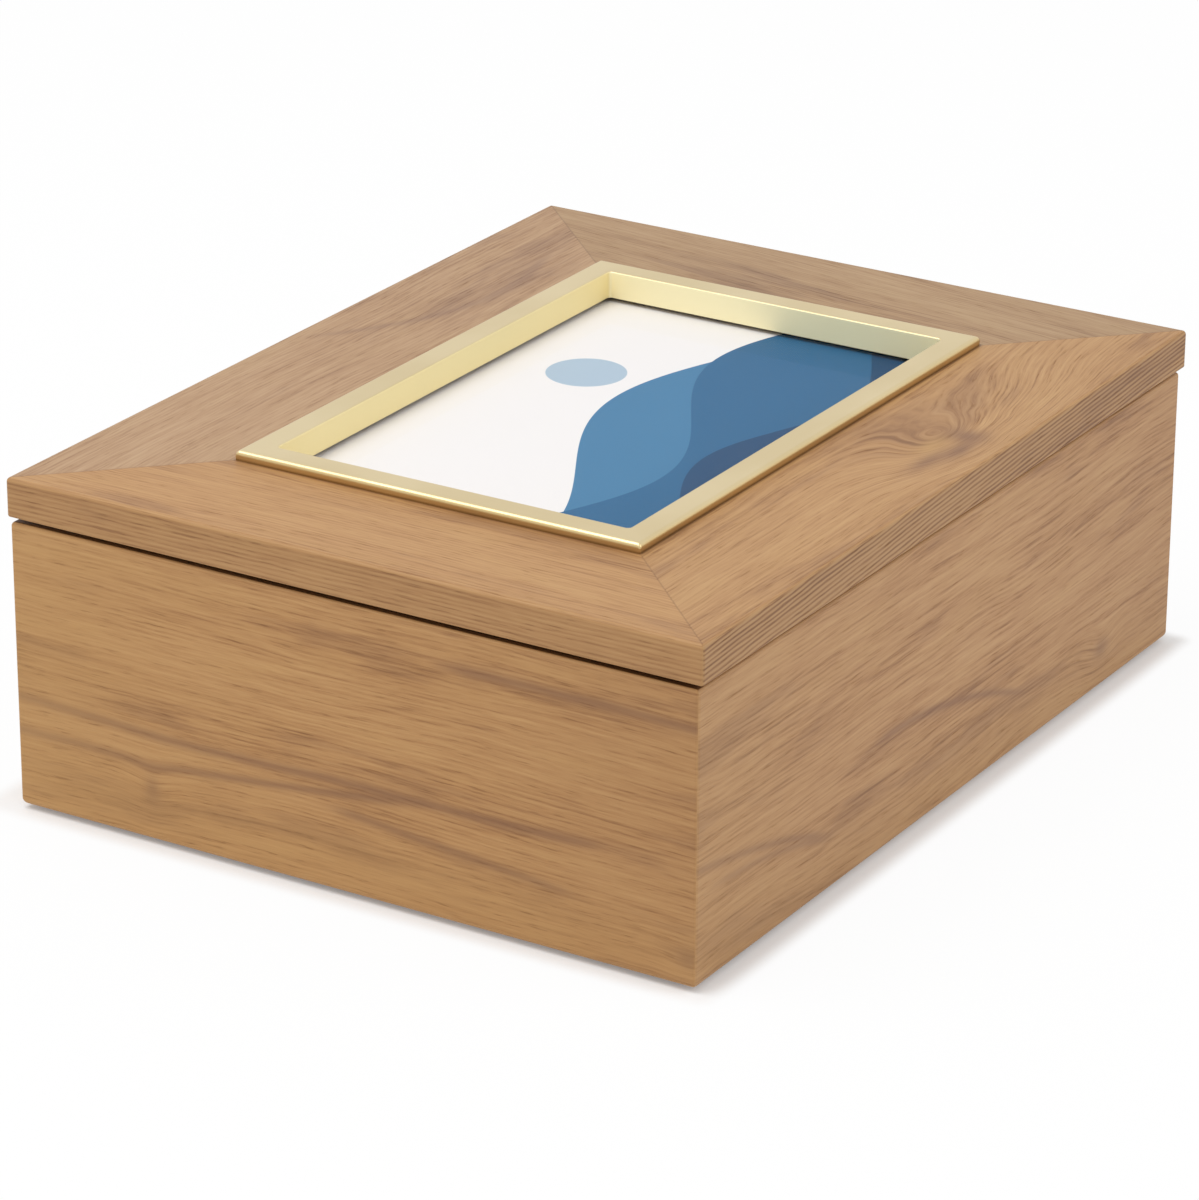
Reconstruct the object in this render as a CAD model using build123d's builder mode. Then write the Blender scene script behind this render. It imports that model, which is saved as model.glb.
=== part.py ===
"""Photo storage box: a mitred wooden body, and a hinged lid with a glazed picture frame let into it.

The origin is the middle of the box's footprint, hinges included, on the surface it stands on.
X runs along the long side, Y from the opening front to the hinges, and Z up. Lengths are millimetres.
"""

import os
from math import atan2, cos, degrees, radians, sin

from build123d import *

os.makedirs("parts", exist_ok=True)

# ---------------------------------------------------------------- driving dimensions

# Veneered boards: the walls and the lid rails are cut from the same stock
core_t = 9.0  # fibreboard core
veneer_t = 0.35  # oak veneer on each face
board_t = core_t + 2 * veneer_t

# Lid
lid_len = 235.0
lid_dep = 185.0
lid_top_round = 1.0  # the rubbed upper arris
lid_bottom_round = 0.6
corner_round = 0.8  # the upright arrises of lid and body

# Body
wall_height = 71.1
side_overhang = 0.5  # how far the lid stands out past each end wall
front_overhang = 1.25  # the finger edge
back_overhang = 0.5
shadow_gap = 1.25  # between the walls' top and the lid
wall_top_round = 1.0
wall_bottom_round = 1.6
wall_inner_round = 0.4

# Bottom board in its groove, and the felt on it
bottom_t = 3.0
bottom_up = 5.0  # underside of the board above the walls' lower edge
groove_depth = 4.0
groove_clear = 0.3  # at the board's edges
groove_play = 0.1  # above the board
lining_t = 1.5
lining_clear = 0.3

# Felt feet and the pads that hold the shadow gap
foot_margin = 0.25  # from a foot's rim to the edges of a wall's flat lower face
foot_t = 1.0
foot_from_end = 14.0
bumper_margin = 1.0  # from a bumper's rim to the edges of the front wall's flat top
bumper_clear = 0.3  # between a bumper and the closed lid
bumper_from_end = 25.0

# Loose tongues in the mitres
tongue_play = 0.1
wall_tongue_t = 2.0
wall_tongue_w = 6.0
wall_tongue_from_edge = 10.75  # its ends, below the wall's top and above its lower edge
wall_tongue_share = 0.55  # its middle, along the mitre from the outer corner
lid_tongue_t = 2.0
lid_tongue_w = 8.0
lid_tongue_len = 22.0
lid_tongue_share = 0.45

# The printed card, from which the frame's opening follows
card_len = 152.0
card_dep = 102.0
card_t = 0.4
card_lap_x = 2.5  # hidden under the frame at each end
card_lap_y = 3.5

# Picture frame
band_w = 7.0  # the flat top band
frame_proud = 2.4  # above the lid
frame_wall_t = 1.0
frame_top_round = 1.2
frame_lip_round = 0.4  # the arris round the opening
frame_corner_round = 0.5
opening_corner_round = 1.0
window_clear = 0.3  # between the frame's inner wall and the wood

# What the rebate under the window holds: glass, card and backing, in that order downwards
glass_gap = 0.2  # between the frame's inner wall and the glass
glass_t = 1.0
backing_t = 3.2
backing_recess = 0.4  # above the lid's underside
rebate_clear = 1.0  # round the card
pane_clear = 0.5  # round the glass and the backing

# Turn buttons under the lid
button_from_end = 32.0  # pivot inside the rebate's end
button_from_rebate = 7.5  # pivot beyond the rebate's edge
button_reach = 11.0  # pivot to the tip's centre
button_w = 9.0
button_t = 0.8
button_play = 0.25  # above and below the tab
button_edge = 0.25
button_bore_play = 0.08

# Screws
button_screw_r = 1.25
button_screw_len = 6.0
button_head_r = 2.6
button_head_t = 1.2
head_round = 0.5
hinge_screw_r = 1.0
hinge_head_r = 1.7
hinge_screw_len = 7.0
pilot_play = 0.05
slot_len = 2.1  # cross slots in the heads
slot_w = 0.7
slot_depth = 0.4

# Hinges
hinge_from_end = 45.5  # middle of a hinge inside the lid's end
leaf_len = 26.0
leaf_t = 0.8
leaf_gap = 0.5  # between the closed leaves
leaf_reach = 9.5  # from the pin's axis to the leaf's inner edge
leaf_screw_from_end = 4.5
leaf_clear = 0.15  # round a leaf in its mortise
leaf_corner_round = 0.6
knuckle_r = 1.8
knuckle_play = 0.3  # between knuckles, and round them
open_limit = 100.0  # degrees, where the lid leaf's nib meets the base leaf's lip
nib_reach = 3.0  # behind the pin's axis
nib_root = 1.0  # where the nib starts, inside the knuckle's wall
stop_clear = 0.2  # left between nib and lip at the limit
lip_drop = 4.5  # the lip's lower edge, below the pin's axis
pin_r = 1.0
pin_fit = 0.02  # radial, in the knuckles that hold it
pin_run = 0.06  # radial, in the knuckle that turns
pin_end_round = 0.3

# ---------------------------------------------------------------- heights and places

wall_bottom_z = foot_t
wall_top_z = wall_bottom_z + wall_height
lid_bottom_z = wall_top_z + shadow_gap
lid_top_z = lid_bottom_z + board_t
hinge_z = wall_top_z + shadow_gap / 2

# The hinges stand out behind the lid, and the origin is the middle of the whole footprint
lip_face = knuckle_r + knuckle_play  # from the pin's axis to the base leaf's lip
axis_out = lip_face + leaf_t - back_overhang  # from the lid's back edge to the pin's axis
lid_y = -(axis_out + nib_reach) / 2
lid_back_y = lid_y + lid_dep / 2
hinge_y = lid_back_y + axis_out

body_len = lid_len - 2 * side_overhang
body_dep = lid_dep - front_overhang - back_overhang
body_y = lid_y + (front_overhang - back_overhang) / 2
body_front_y = body_y - body_dep / 2
body_back_y = body_y + body_dep / 2
inner_len = body_len - 2 * board_t
inner_dep = body_dep - 2 * board_t

foot_r = (board_t - wall_bottom_round) / 2 - foot_margin
foot_in = (board_t + wall_bottom_round) / 2  # its middle, inside the wall's outer face
bumper_r = (board_t - wall_top_round - wall_inner_round) / 2 - bumper_margin
bumper_t = shadow_gap - bumper_clear
bumper_y = body_front_y + (board_t + wall_top_round - wall_inner_round) / 2

bottom_z = wall_bottom_z + bottom_up
floor_z = bottom_z + bottom_t

opening_len = card_len - 2 * card_lap_x
opening_dep = card_dep - 2 * card_lap_y
window_len = opening_len + 2 * (frame_wall_t + window_clear)
window_dep = opening_dep + 2 * (frame_wall_t + window_clear)
frame_len = opening_len + 2 * band_w
frame_dep = opening_dep + 2 * band_w
rebate_len = card_len + 2 * rebate_clear
rebate_dep = card_dep + 2 * rebate_clear
pane_len = rebate_len - 2 * pane_clear
pane_dep = rebate_dep - 2 * pane_clear

backing_low_z = lid_bottom_z + backing_recess
backing_top_z = backing_low_z + backing_t
card_top_z = backing_top_z + card_t
glass_top_z = card_top_z + glass_t
frame_low_z = glass_top_z + glass_gap
frame_top_z = lid_top_z + frame_proud

button_top_z = lid_bottom_z - button_play
button_low_z = button_top_z - button_t
button_head_z = button_low_z - button_play
button_x = rebate_len / 2 - button_from_end
button_y = rebate_dep / 2 + button_from_rebate  # from the lid's middle

hinge_x = lid_len / 2 - hinge_from_end
leaf_screw_x = leaf_len / 2 - leaf_screw_from_end
base_leaf_top_z = hinge_z - leaf_gap / 2
lid_leaf_low_z = hinge_z + leaf_gap / 2
plate_back_y = hinge_y - lip_face  # where the flat part of a leaf ends
plate_front_y = hinge_y - leaf_reach
leaf_screw_y = (plate_front_y + body_back_y) / 2
knuckle_len = (leaf_len - 2 * knuckle_play) / 3
knuckle_pitch = knuckle_len + knuckle_play
stop = radians(open_limit)
nib_low_z = hinge_z - (lip_face - stop_clear + nib_reach * cos(stop)) / sin(stop)

SIDES = ("front", "back", "left", "right")
CORNERS = {"front_left": (-1, -1), "front_right": (1, -1), "back_left": (-1, 1), "back_right": (1, 1)}
ENDS = {"left": -1, "right": 1}


# ---------------------------------------------------------------- helpers


def save(piece, name):
    """Label a finished sub-part and write its file."""
    piece.label = name
    export_step(piece, f"parts/{name}.step")
    print(f"{name}: {len(piece.solids())} solid(s), {piece.volume:.1f} mm3")


def slab(length, depth, middle_y, low, high, mode=Mode.ADD, corner=0.0):
    """Add or cut a level slab, centred on X, in the current part."""
    with BuildSketch(Plane.XY.offset(low)) as face:
        with Locations((0, middle_y)):
            if corner > 0:
                RectangleRounded(length, depth, corner)
            else:
                Rectangle(length, depth)
    extrude(face.sketch, amount=high - low, mode=mode)


def keep_side(side, outer, inner, middle_y, low, high):
    """Keep one mitred side of the current part. Only the mitres cut: the rest of the block stands clear."""
    spare = board_t / 2
    slope_x, slope_y = (outer[0] - inner[0]) / board_t, (outer[1] - inner[1]) / board_t
    (ox, oy), (ix, iy) = [
        ((length + way * spare * slope_x) / 2, (depth + way * spare * slope_y) / 2)
        for way, (length, depth) in ((1, outer), (-1, inner))
    ]
    quarter = {
        "front": [(-ox, -oy), (ox, -oy), (ix, -iy), (-ix, -iy)],
        "back": [(ox, oy), (-ox, oy), (-ix, iy), (ix, iy)],
        "left": [(-ox, oy), (-ox, -oy), (-ix, -iy), (-ix, iy)],
        "right": [(ox, -oy), (ox, oy), (ix, iy), (ix, -iy)],
    }[side]
    with BuildSketch(Plane.XY.offset(low - spare)) as face:
        with BuildLine():
            Polyline(*[(x, y + middle_y) for x, y in quarter], close=True)
        make_face()
    extrude(face.sketch, amount=high - low + 2 * spare, mode=Mode.INTERSECT)


def wall_tongue(corner, play, mode=Mode.ADD):
    """The upright tongue of one body mitre, or its slot with some play."""
    sx, sy = CORNERS[corner]
    inward = wall_tongue_share * board_t
    x, y = sx * (body_len / 2 - inward), body_y + sy * (body_dep / 2 - inward)
    middle_z = wall_bottom_z + wall_height / 2
    height = wall_height - 2 * wall_tongue_from_edge
    with Locations(Location((x, y, middle_z), (0, 0, degrees(atan2(sy, sx))))):
        Box(wall_tongue_t + 2 * play, wall_tongue_w + 2 * play, height + 2 * play, mode=mode)


def lid_tongue(corner, play, mode=Mode.ADD):
    """The level tongue of one lid mitre, or its slot with some play."""
    sx, sy = CORNERS[corner]
    run_x, run_y = (lid_len - window_len) / 2, (lid_dep - window_dep) / 2
    x = sx * (lid_len / 2 - lid_tongue_share * run_x)
    y = lid_y + sy * (lid_dep / 2 - lid_tongue_share * run_y)
    middle_z = (lid_top_z + lid_bottom_z) / 2
    with Locations(Location((x, y, middle_z), (0, 0, degrees(atan2(sy * run_y, sx * run_x))))):
        Box(lid_tongue_len + 2 * play, lid_tongue_w + 2 * play, lid_tongue_t + 2 * play, mode=mode)


def hinge_screw_places(height):
    """Where the leaves' screws stand, at a given height."""
    return [
        (side * hinge_x + along, leaf_screw_y, height)
        for side in ENDS.values()
        for along in (-leaf_screw_x, leaf_screw_x)
    ]


def button_places(height):
    """The turn buttons' pivots, at a given height."""
    return [(sx * button_x, lid_y + sy * button_y, height) for sx, sy in CORNERS.values()]


def rod(places, radius, length, mode=Mode.ADD):
    """Upright rods that start at the given places. A negative length runs down."""
    for place in places:
        with BuildSketch(Plane(origin=place)) as face:
            Circle(radius)
        extrude(face.sketch, amount=length, mode=mode)


# ---------------------------------------------------------------- body


def mortises(low, high):
    """Cut the two hinge leaves' beds, open at the back, in the current part."""
    for side in ENDS.values():
        with BuildSketch(Plane.XY.offset(low)) as bed:
            with Locations((side * hinge_x, plate_front_y - leaf_clear)):
                Rectangle(leaf_len + 2 * leaf_clear, leaf_reach, align=(Align.CENTER, Align.MIN))
        extrude(bed.sketch, amount=high - low, mode=Mode.SUBTRACT)


# The ring of four walls with every cut that it takes, parted at the mitres below
with BuildPart() as walls:
    slab(body_len, body_dep, body_y, wall_bottom_z, wall_top_z, corner=corner_round)
    fillet(walls.faces().sort_by(Axis.Z)[-1].edges(), wall_top_round)
    fillet(walls.faces().sort_by(Axis.Z)[0].edges(), wall_bottom_round)
    slab(inner_len, inner_dep, body_y, wall_bottom_z, wall_top_z, Mode.SUBTRACT)
    fillet(walls.faces().sort_by(Axis.Z)[-1].inner_wires()[0].edges(), wall_inner_round)
    groove_len, groove_dep = inner_len + 2 * groove_depth, inner_dep + 2 * groove_depth
    slab(groove_len, groove_dep, body_y, bottom_z, floor_z + groove_play, Mode.SUBTRACT)
    for corner in CORNERS:
        wall_tongue(corner, tongue_play, Mode.SUBTRACT)
    mortises(base_leaf_top_z - leaf_t, wall_top_z)
    rod(hinge_screw_places(base_leaf_top_z), hinge_screw_r + pilot_play, -hinge_screw_len, Mode.SUBTRACT)

for side in SIDES:
    with BuildPart() as wall:
        add(walls.part)
        keep_side(side, (body_len, body_dep), (inner_len, inner_dep), body_y, wall_bottom_z, wall_top_z)
    save(wall.part, f"base_{side}_wall")

for corner in CORNERS:
    with BuildPart() as tongue:
        wall_tongue(corner, 0)
    save(tongue.part, f"base_spline_{corner}")

with BuildPart() as bottom_board:
    board_grip = 2 * (groove_depth - groove_clear)
    slab(inner_len + board_grip, inner_dep + board_grip, body_y, bottom_z, floor_z)
save(bottom_board.part, "base_bottom_board")

with BuildPart() as lining:
    felt_len, felt_dep = inner_len - 2 * lining_clear, inner_dep - 2 * lining_clear
    slab(felt_len, felt_dep, body_y, floor_z, floor_z + lining_t)
save(lining.part, "base_lining")

for corner, (sx, sy) in CORNERS.items():
    foot_y = body_y + sy * (body_dep / 2 - foot_in)
    with BuildPart() as foot:
        rod([(sx * (body_len / 2 - foot_from_end), foot_y, 0)], foot_r, foot_t)
    save(foot.part, f"foot_{corner}")

for end, sx in ENDS.items():
    with BuildPart() as bumper:
        rod([(sx * (body_len / 2 - bumper_from_end), bumper_y, wall_top_z)], bumper_r, bumper_t)
        fillet(faces().sort_by(Axis.Z)[-1].edges(), bumper_t / 2)
    save(bumper.part, f"bumper_{end}")


# ---------------------------------------------------------------- lid


# The whole lid board with its window, rebate and every other cut, parted at the mitres below
with BuildPart() as lid_board:
    slab(lid_len, lid_dep, lid_y, lid_bottom_z, lid_top_z, corner=corner_round)
    fillet(lid_board.faces().sort_by(Axis.Z)[-1].edges(), lid_top_round)
    fillet(lid_board.faces().sort_by(Axis.Z)[0].edges(), lid_bottom_round)
    slab(window_len, window_dep, lid_y, lid_bottom_z, lid_top_z, Mode.SUBTRACT)
    slab(rebate_len, rebate_dep, lid_y, lid_bottom_z, glass_top_z, Mode.SUBTRACT)
    for corner in CORNERS:
        lid_tongue(corner, tongue_play, Mode.SUBTRACT)
    mortises(lid_bottom_z, lid_leaf_low_z + leaf_t)
    rod(hinge_screw_places(lid_leaf_low_z), hinge_screw_r + pilot_play, hinge_screw_len, Mode.SUBTRACT)
    rod(button_places(lid_bottom_z), button_screw_r + pilot_play, button_screw_len, Mode.SUBTRACT)

for side in SIDES:
    with BuildPart() as rail:
        add(lid_board.part)
        keep_side(side, (lid_len, lid_dep), (window_len, window_dep), lid_y, lid_bottom_z, lid_top_z)
    save(rail.part, f"lid_{side}_rail")

for corner in CORNERS:
    with BuildPart() as tongue:
        lid_tongue(corner, 0)
    save(tongue.part, f"lid_spline_{corner}")

with BuildPart() as picture_frame:
    slab(frame_len, frame_dep, lid_y, lid_top_z, frame_top_z, corner=frame_corner_round)
    fillet(faces().sort_by(Axis.Z)[-1].edges(), frame_top_round)
    wall_len, wall_dep = opening_len + 2 * frame_wall_t, opening_dep + 2 * frame_wall_t
    wall_corner = opening_corner_round + frame_wall_t
    slab(wall_len, wall_dep, lid_y, frame_low_z, lid_top_z, corner=wall_corner)
    slab(opening_len, opening_dep, lid_y, frame_low_z, frame_top_z, Mode.SUBTRACT, opening_corner_round)
    fillet(faces().sort_by(Axis.Z)[-1].inner_wires()[0].edges(), frame_lip_round)
save(picture_frame.part, "picture_frame")

with BuildPart() as glass:
    slab(pane_len, pane_dep, lid_y, card_top_z, glass_top_z)
save(glass.part, "glass_pane")

with BuildPart() as card:
    slab(card_len, card_dep, lid_y, backing_top_z, card_top_z)
save(card.part, "picture_card")

with BuildPart() as backing:
    slab(pane_len, pane_dep, lid_y, backing_low_z, backing_top_z)
save(backing.part, "backing_board")


# ---------------------------------------------------------------- turn buttons and their screws


def cross_slots(places, depth):
    """Cut a cross into screw heads, from the given places. A negative depth cuts down."""
    for place in places:
        with BuildSketch(Plane(origin=place)) as cross:
            Rectangle(slot_len, slot_w)
            Rectangle(slot_w, slot_len)
        extrude(cross.sketch, amount=depth, mode=Mode.SUBTRACT)


for (corner, (sx, sy)), pivot in zip(CORNERS.items(), button_places(button_low_z)):
    with BuildPart() as button:
        with BuildSketch(Plane(origin=pivot)) as tab:
            with Locations((0, -sy * button_reach / 2)):
                SlotCenterToCenter(button_reach, button_w, rotation=90)
        extrude(tab.sketch, amount=button_t)
        chamfer(button.faces().sort_by(Axis.Z)[0].edges(), button_edge)
        rod([pivot], button_screw_r + button_bore_play, button_t, Mode.SUBTRACT)
    save(button.part, f"turn_button_{corner}")

with BuildPart() as button_screws:
    rod(button_places(button_head_z), button_screw_r, 2 * button_play + button_t + button_screw_len)
    rod(button_places(button_head_z), button_head_r, -button_head_t)
    fillet(edges().filter_by(GeomType.CIRCLE).group_by(Axis.Z)[0], head_round)
    cross_slots(button_places(button_head_z - button_head_t), slot_depth)
save(button_screws.part, "turn_button_screws")


# ---------------------------------------------------------------- hinges


def leaf(x, low, knuckles):
    """One hinge leaf in the current part: its plate from low up, and its knuckles at these offsets."""
    with BuildSketch(Plane.XY.offset(low)) as plate:
        with Locations((x, plate_front_y)):
            Rectangle(leaf_len, plate_back_y - plate_front_y, align=(Align.CENTER, Align.MIN))
    extrude(plate.sketch, amount=leaf_t)
    fillet(edges().filter_by(Axis.Z).group_by(Axis.Y)[0], leaf_corner_round)
    for offset_x in knuckles:
        with BuildSketch(Plane.XY.offset(low)) as strap:
            with Locations((x + offset_x, plate_back_y)):
                Rectangle(knuckle_len, hinge_y - plate_back_y, align=(Align.CENTER, Align.MIN))
        extrude(strap.sketch, amount=leaf_t)
        barrel(x + offset_x, knuckle_len, knuckle_r)


def upright_strip(x, width, front_y, back_y, low, high):
    """A small block of a leaf: the base leaf's lip or the lid leaf's nib."""
    with BuildSketch(Plane.XY.offset(low)) as strip:
        with Locations((x, front_y)):
            Rectangle(width, back_y - front_y, align=(Align.CENTER, Align.MIN))
    extrude(strip.sketch, amount=high - low)


def barrel(x, length, radius, mode=Mode.ADD):
    """A cylinder round the hinge's axis, its middle at x."""
    start = x - length / 2
    with BuildSketch(Plane(origin=(start, hinge_y, hinge_z), x_dir=(0, 1, 0), z_dir=(1, 0, 0))) as ring:
        Circle(radius)
    extrude(ring.sketch, amount=length, mode=mode)


def countersinks(x, face_z, into):
    """Countersunk holes through a leaf, from its shown face. into is -1 downwards and 1 upwards."""
    sink = hinge_head_r - hinge_screw_r
    for along in (-leaf_screw_x, leaf_screw_x):
        at = Plane(origin=(x + along, leaf_screw_y, face_z), z_dir=(0, 0, into))
        with BuildSketch(at) as mouth:
            Circle(hinge_head_r + pilot_play)
        with BuildSketch(at.offset(sink)) as throat:
            Circle(hinge_screw_r + pilot_play)
        loft([mouth.sketch.face(), throat.sketch.face()], mode=Mode.SUBTRACT)
        extrude(throat.sketch, amount=leaf_t, mode=Mode.SUBTRACT)


def countersunk_screws(face_z, into):
    """The four countersunk screws of one kind of leaf, in the current part."""
    sink = hinge_head_r - hinge_screw_r
    for x, y, _ in hinge_screw_places(face_z):
        at = Plane(origin=(x, y, face_z), z_dir=(0, 0, into))
        with BuildSketch(at) as head:
            Circle(hinge_head_r)
        with BuildSketch(at.offset(sink)) as neck:
            Circle(hinge_screw_r)
        loft([head.sketch.face(), neck.sketch.face()])
        extrude(neck.sketch, amount=hinge_screw_len - sink)
    cross_slots(hinge_screw_places(face_z), into * slot_depth)


for end, sx in ENDS.items():
    x = sx * hinge_x
    with BuildPart() as base_leaf:
        leaf(x, base_leaf_top_z - leaf_t, (-knuckle_pitch, knuckle_pitch))
        upright_strip(x, leaf_len, body_back_y, plate_back_y, hinge_z - lip_drop, base_leaf_top_z)
        barrel(x, leaf_len, pin_r + pin_fit, Mode.SUBTRACT)
        countersinks(x, base_leaf_top_z, -1)
    save(base_leaf.part, f"hinge_{end}_base_leaf")
    with BuildPart() as lid_leaf:
        leaf(x, lid_leaf_low_z, (0,))
        upright_strip(x, knuckle_len, hinge_y + nib_root, hinge_y + nib_reach, nib_low_z, nib_low_z + leaf_t)
        barrel(x, leaf_len, pin_r + pin_run, Mode.SUBTRACT)
        countersinks(x, lid_leaf_low_z, 1)
    save(lid_leaf.part, f"hinge_{end}_lid_leaf")
    with BuildPart() as pin:
        barrel(x, leaf_len, pin_r)
        fillet(edges().filter_by(GeomType.CIRCLE), pin_end_round)
    save(pin.part, f"hinge_{end}_pin")

with BuildPart() as base_hinge_screws:
    countersunk_screws(base_leaf_top_z, -1)
save(base_hinge_screws.part, "base_hinge_screws")

with BuildPart() as lid_hinge_screws:
    countersunk_screws(lid_leaf_low_z, 1)
save(lid_hinge_screws.part, "lid_hinge_screws")
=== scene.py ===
# %% [markdown]
# # A photo storage box
#
# A keepsake box of oak-veneered board: four mitred walls, a hinged lid of four mitred rails,
# and a pale gold picture frame let into the lid with a print behind glass. The pieces come
# finished in shape from the CAD model, so this notebook is mostly about surfaces: how one tree
# of shader nodes turns into eight different leaves of veneer, how gold takes its look from what
# it mirrors, and how felt is cut.
#
# The model is loaded first. Every piece keeps its place in metres, with the box standing on
# z = 0, and nothing here moves or reshapes a CAD piece.

from math import copysign, radians, tau

import bmesh
import bpy
from mathutils import Matrix, Vector


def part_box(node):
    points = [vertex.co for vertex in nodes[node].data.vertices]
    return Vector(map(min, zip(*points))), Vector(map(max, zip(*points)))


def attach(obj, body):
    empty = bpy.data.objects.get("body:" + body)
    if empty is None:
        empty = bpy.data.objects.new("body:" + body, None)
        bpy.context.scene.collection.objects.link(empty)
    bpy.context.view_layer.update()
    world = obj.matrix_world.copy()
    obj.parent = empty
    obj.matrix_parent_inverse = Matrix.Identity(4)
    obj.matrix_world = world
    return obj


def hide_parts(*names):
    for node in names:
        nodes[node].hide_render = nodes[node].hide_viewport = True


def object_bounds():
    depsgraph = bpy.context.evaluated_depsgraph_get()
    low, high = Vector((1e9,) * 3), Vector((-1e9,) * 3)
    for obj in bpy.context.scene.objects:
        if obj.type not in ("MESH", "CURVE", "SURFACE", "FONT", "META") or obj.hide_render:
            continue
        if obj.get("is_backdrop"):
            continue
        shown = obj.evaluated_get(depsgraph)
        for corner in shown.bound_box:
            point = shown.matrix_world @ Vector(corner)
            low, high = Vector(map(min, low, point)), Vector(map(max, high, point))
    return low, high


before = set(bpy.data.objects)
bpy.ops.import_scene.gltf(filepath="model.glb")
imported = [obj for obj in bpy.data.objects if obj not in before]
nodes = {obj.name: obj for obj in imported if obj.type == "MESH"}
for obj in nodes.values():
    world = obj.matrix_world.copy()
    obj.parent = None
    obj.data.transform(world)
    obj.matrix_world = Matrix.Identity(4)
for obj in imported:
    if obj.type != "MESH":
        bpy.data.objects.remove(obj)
cad_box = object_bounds()
MM = 0.001
print("pieces from CAD:", len(nodes))
print("size in mm:", [round(side / MM, 1) for side in cad_box[1] - cad_box[0]])

# %% [markdown]
# ## The camera
#
# The camera stands where the photographer stood. Its place and its long lens were worked out
# from the straight edges of the box. A camera looks along its own -Z axis, so its turn is built
# from three axes: to the right, up, and backwards. The photograph was taken with the camera
# tipped by a quarter of a degree, and turning the right and up axes about the view gives that
# tip.

# %% Camera
CAMERA_PLACE = Vector((-1.01371, -0.61634, 0.52288))
VIEW = Vector((0.78856, 0.48128, -0.3828)).normalized()
TIP = radians(-0.277)
LENS_MM, SENSOR_MM = 159.63, 36

level_right = VIEW.cross(Vector((0, 0, 1))).normalized()
tip = Matrix.Rotation(TIP, 3, VIEW)
right = tip @ level_right
up = tip @ level_right.cross(VIEW)

camera_data = bpy.data.cameras.new("camera")
camera_data.sensor_width = SENSOR_MM
camera_data.lens = LENS_MM
camera = bpy.data.objects.new("camera", camera_data)
turn = Matrix((right, up, -VIEW)).transposed().to_4x4()
camera.matrix_world = Matrix.Translation(CAMERA_PLACE) @ turn
bpy.context.scene.collection.objects.link(camera)
bpy.context.scene.camera = camera
print("camera looks down by", round(-VIEW.z, 3), "of its way")

# %% [markdown]
# ## Shader maths as plain expressions
#
# A pattern such as wood grain is arithmetic on a position. Written as nodes, one line of
# arithmetic takes a dozen calls. The class below wraps a socket, so that `1 - mask` or
# `place * 3` adds the Math node and returns its output.


# %% Sockets that add up
class Amount:
    """A number that varies over a surface: one output socket of a node tree."""

    def __init__(self, tree, socket):
        self.tree, self.socket = tree, socket

    def maths(self, operation, *others):
        terms = dict(enumerate((self, *others)))
        return self.tree.node("ShaderNodeMath", terms, operation=operation)

    def __add__(self, other):
        return self.maths("ADD", other)

    def __sub__(self, other):
        return self.maths("SUBTRACT", other)

    def __mul__(self, other):
        return self.maths("MULTIPLY", other)

    def __truediv__(self, other):
        return self.maths("DIVIDE", other)

    def __rsub__(self, other):
        return self.tree.node("ShaderNodeMath", {0: other, 1: self}, operation="SUBTRACT")

    __radd__ = __add__
    __rmul__ = __mul__

    def __abs__(self):
        return self.maths("ABSOLUTE")

    def __round__(self):
        return self.maths("ROUND")

    def largest(self, other):
        return self.maths("MAXIMUM", other)

    def smallest(self, other):
        return self.maths("MINIMUM", other)

    def sine(self):
        return self.maths("SINE")

    def fade(self):
        """1 where the number is 0, about a third at 1, and nothing by 4."""
        return (self * -1).maths("EXPONENT")

    def hump(self):
        """1 where the number is 0, and away to nothing past 2 on either side."""
        return (self * self).fade()

    def rise(self, start, end):
        """0 up to start, 1 from end, and smooth between. It falls where start is the larger."""
        inputs = {"Value": self, "From Min": start, "From Max": end}
        return self.tree.node("ShaderNodeMapRange", inputs, interpolation_type="SMOOTHSTEP")


print("sockets now take +, -, * and /")

# %% [markdown]
# Every node comes from one method, `node`, which sets the node's own settings first and then
# its inputs. A material is a tree with a few more measures: where a point lies, which way the
# surface faces there, and noise. Colours stay out of the maths, because a Math node would turn
# them grey. They are mixed by `blend`.


# %% Trees and recipes
class Tree:
    """A node tree, with one way to add any node."""

    def __init__(self, owner):
        owner.use_nodes = True
        self.tree = owner.node_tree

    def node(self, kind, inputs=(), output=0, **settings):
        """Add one node: its settings, then its inputs by name or number. Returns its output."""
        node = self.tree.nodes.new(kind)
        for name, value in settings.items():
            setattr(node, name, value)
        for name, value in dict(inputs).items():
            self.plug(node.inputs[name], value)
        return Amount(self, node.outputs[output]) if node.outputs else None

    def plug(self, socket, value):
        if isinstance(value, Amount):
            self.tree.links.new(value.socket, socket)
        else:
            socket.default_value = value


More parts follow.
